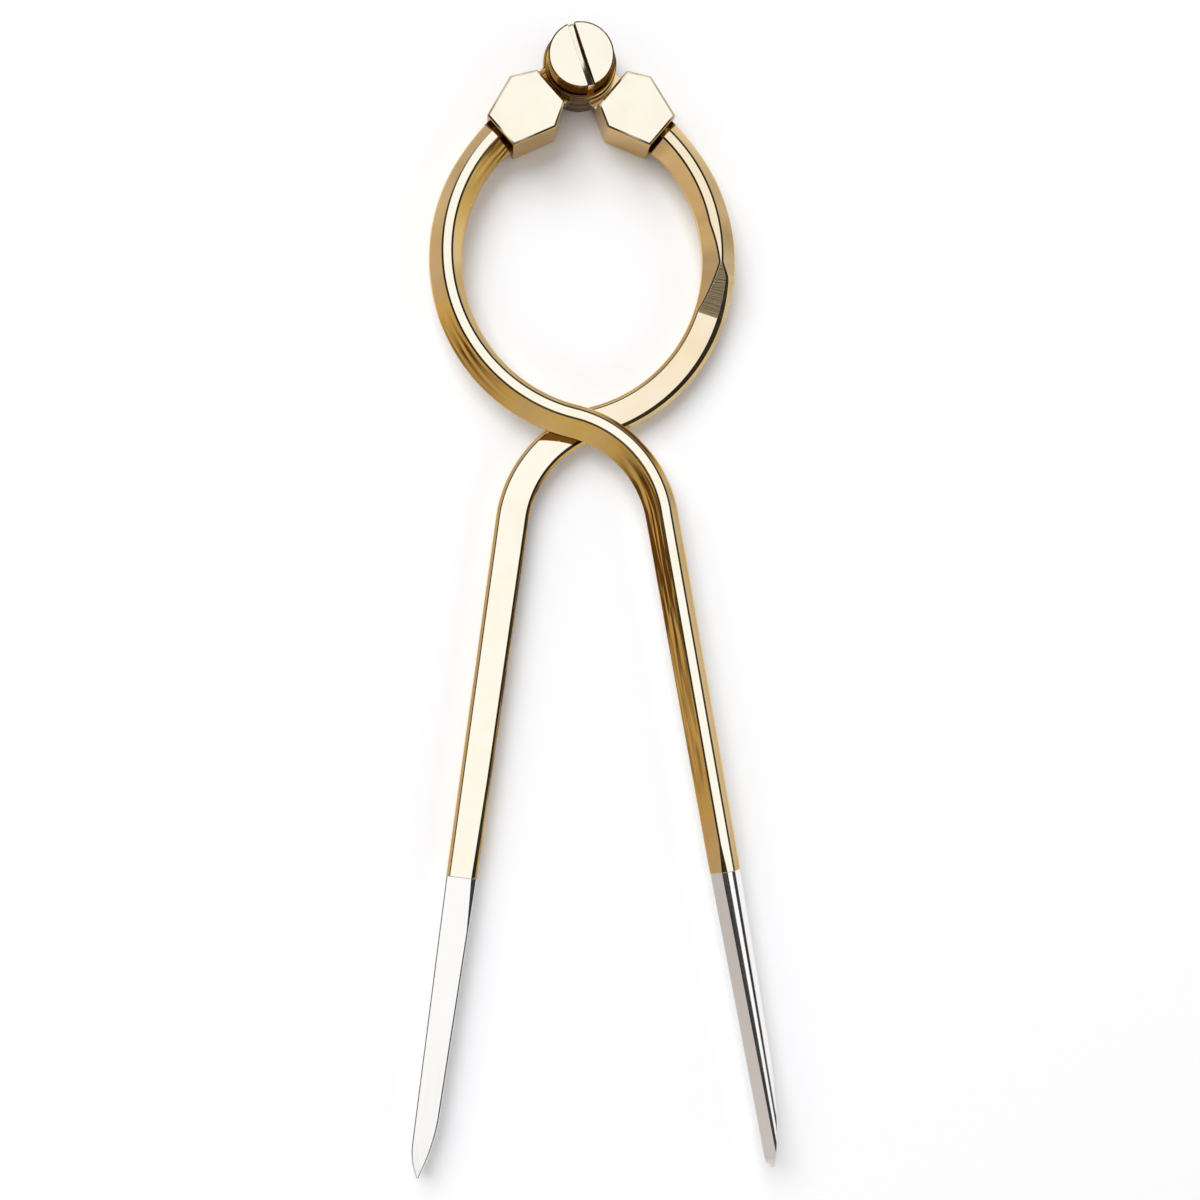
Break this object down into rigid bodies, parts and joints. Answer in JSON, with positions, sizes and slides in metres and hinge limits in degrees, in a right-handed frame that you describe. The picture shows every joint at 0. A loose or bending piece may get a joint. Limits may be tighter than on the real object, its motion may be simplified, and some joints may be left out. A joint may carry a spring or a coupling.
{
  "type": "navigation divider",
  "caption": "One-hand brass navigation divider: crossed bow arms on a slotted friction screw, with steel points that open when the bow is squeezed.",
  "frame": {"origin": "on the pivot axis, at the flat rear face of the blind nut, which lies on the table", "axes": "+Z along the pivot axis towards the screw head, +Y from the points towards the hinge, +X to the side of the front leg's point"},
  "size_m": [0.0633, 0.198, 0.0116],
  "materials": {
    "polished_brass": "polished",
    "polished_steel": "ground and polished",
    "spring_steel": "rolled"
  },
  "bodies": {
    "rear_arm": {"rear_leg": "polished_brass", "rear_collar": "polished_brass", "rear_tip": "polished_steel", "pivot_nut": "polished_brass", "rear_washer": "polished_brass", "friction_washer": "polished_brass"},
    "front_arm": {"front_leg": "polished_brass", "front_collar": "polished_brass", "front_tip": "polished_steel", "spring_washer": "spring_steel"},
    "screw": {"pivot_screw": "polished_brass", "head_washer": "polished_brass"}
  },
  "joints": [
    {"name": "arm_hinge", "type": "hinge", "parent": "rear_arm", "child": "front_arm", "pos_m": [0, 0, 0.0045], "axis": [0, 0, 1], "range_deg": [-18.5, 40.5]},
    {"name": "screw_turn", "type": "hinge", "parent": "rear_arm", "child": "screw", "pos_m": [0, 0, 0.0045], "axis": [0, 0, 1], "range_deg": [-45, 45]}
  ]
}
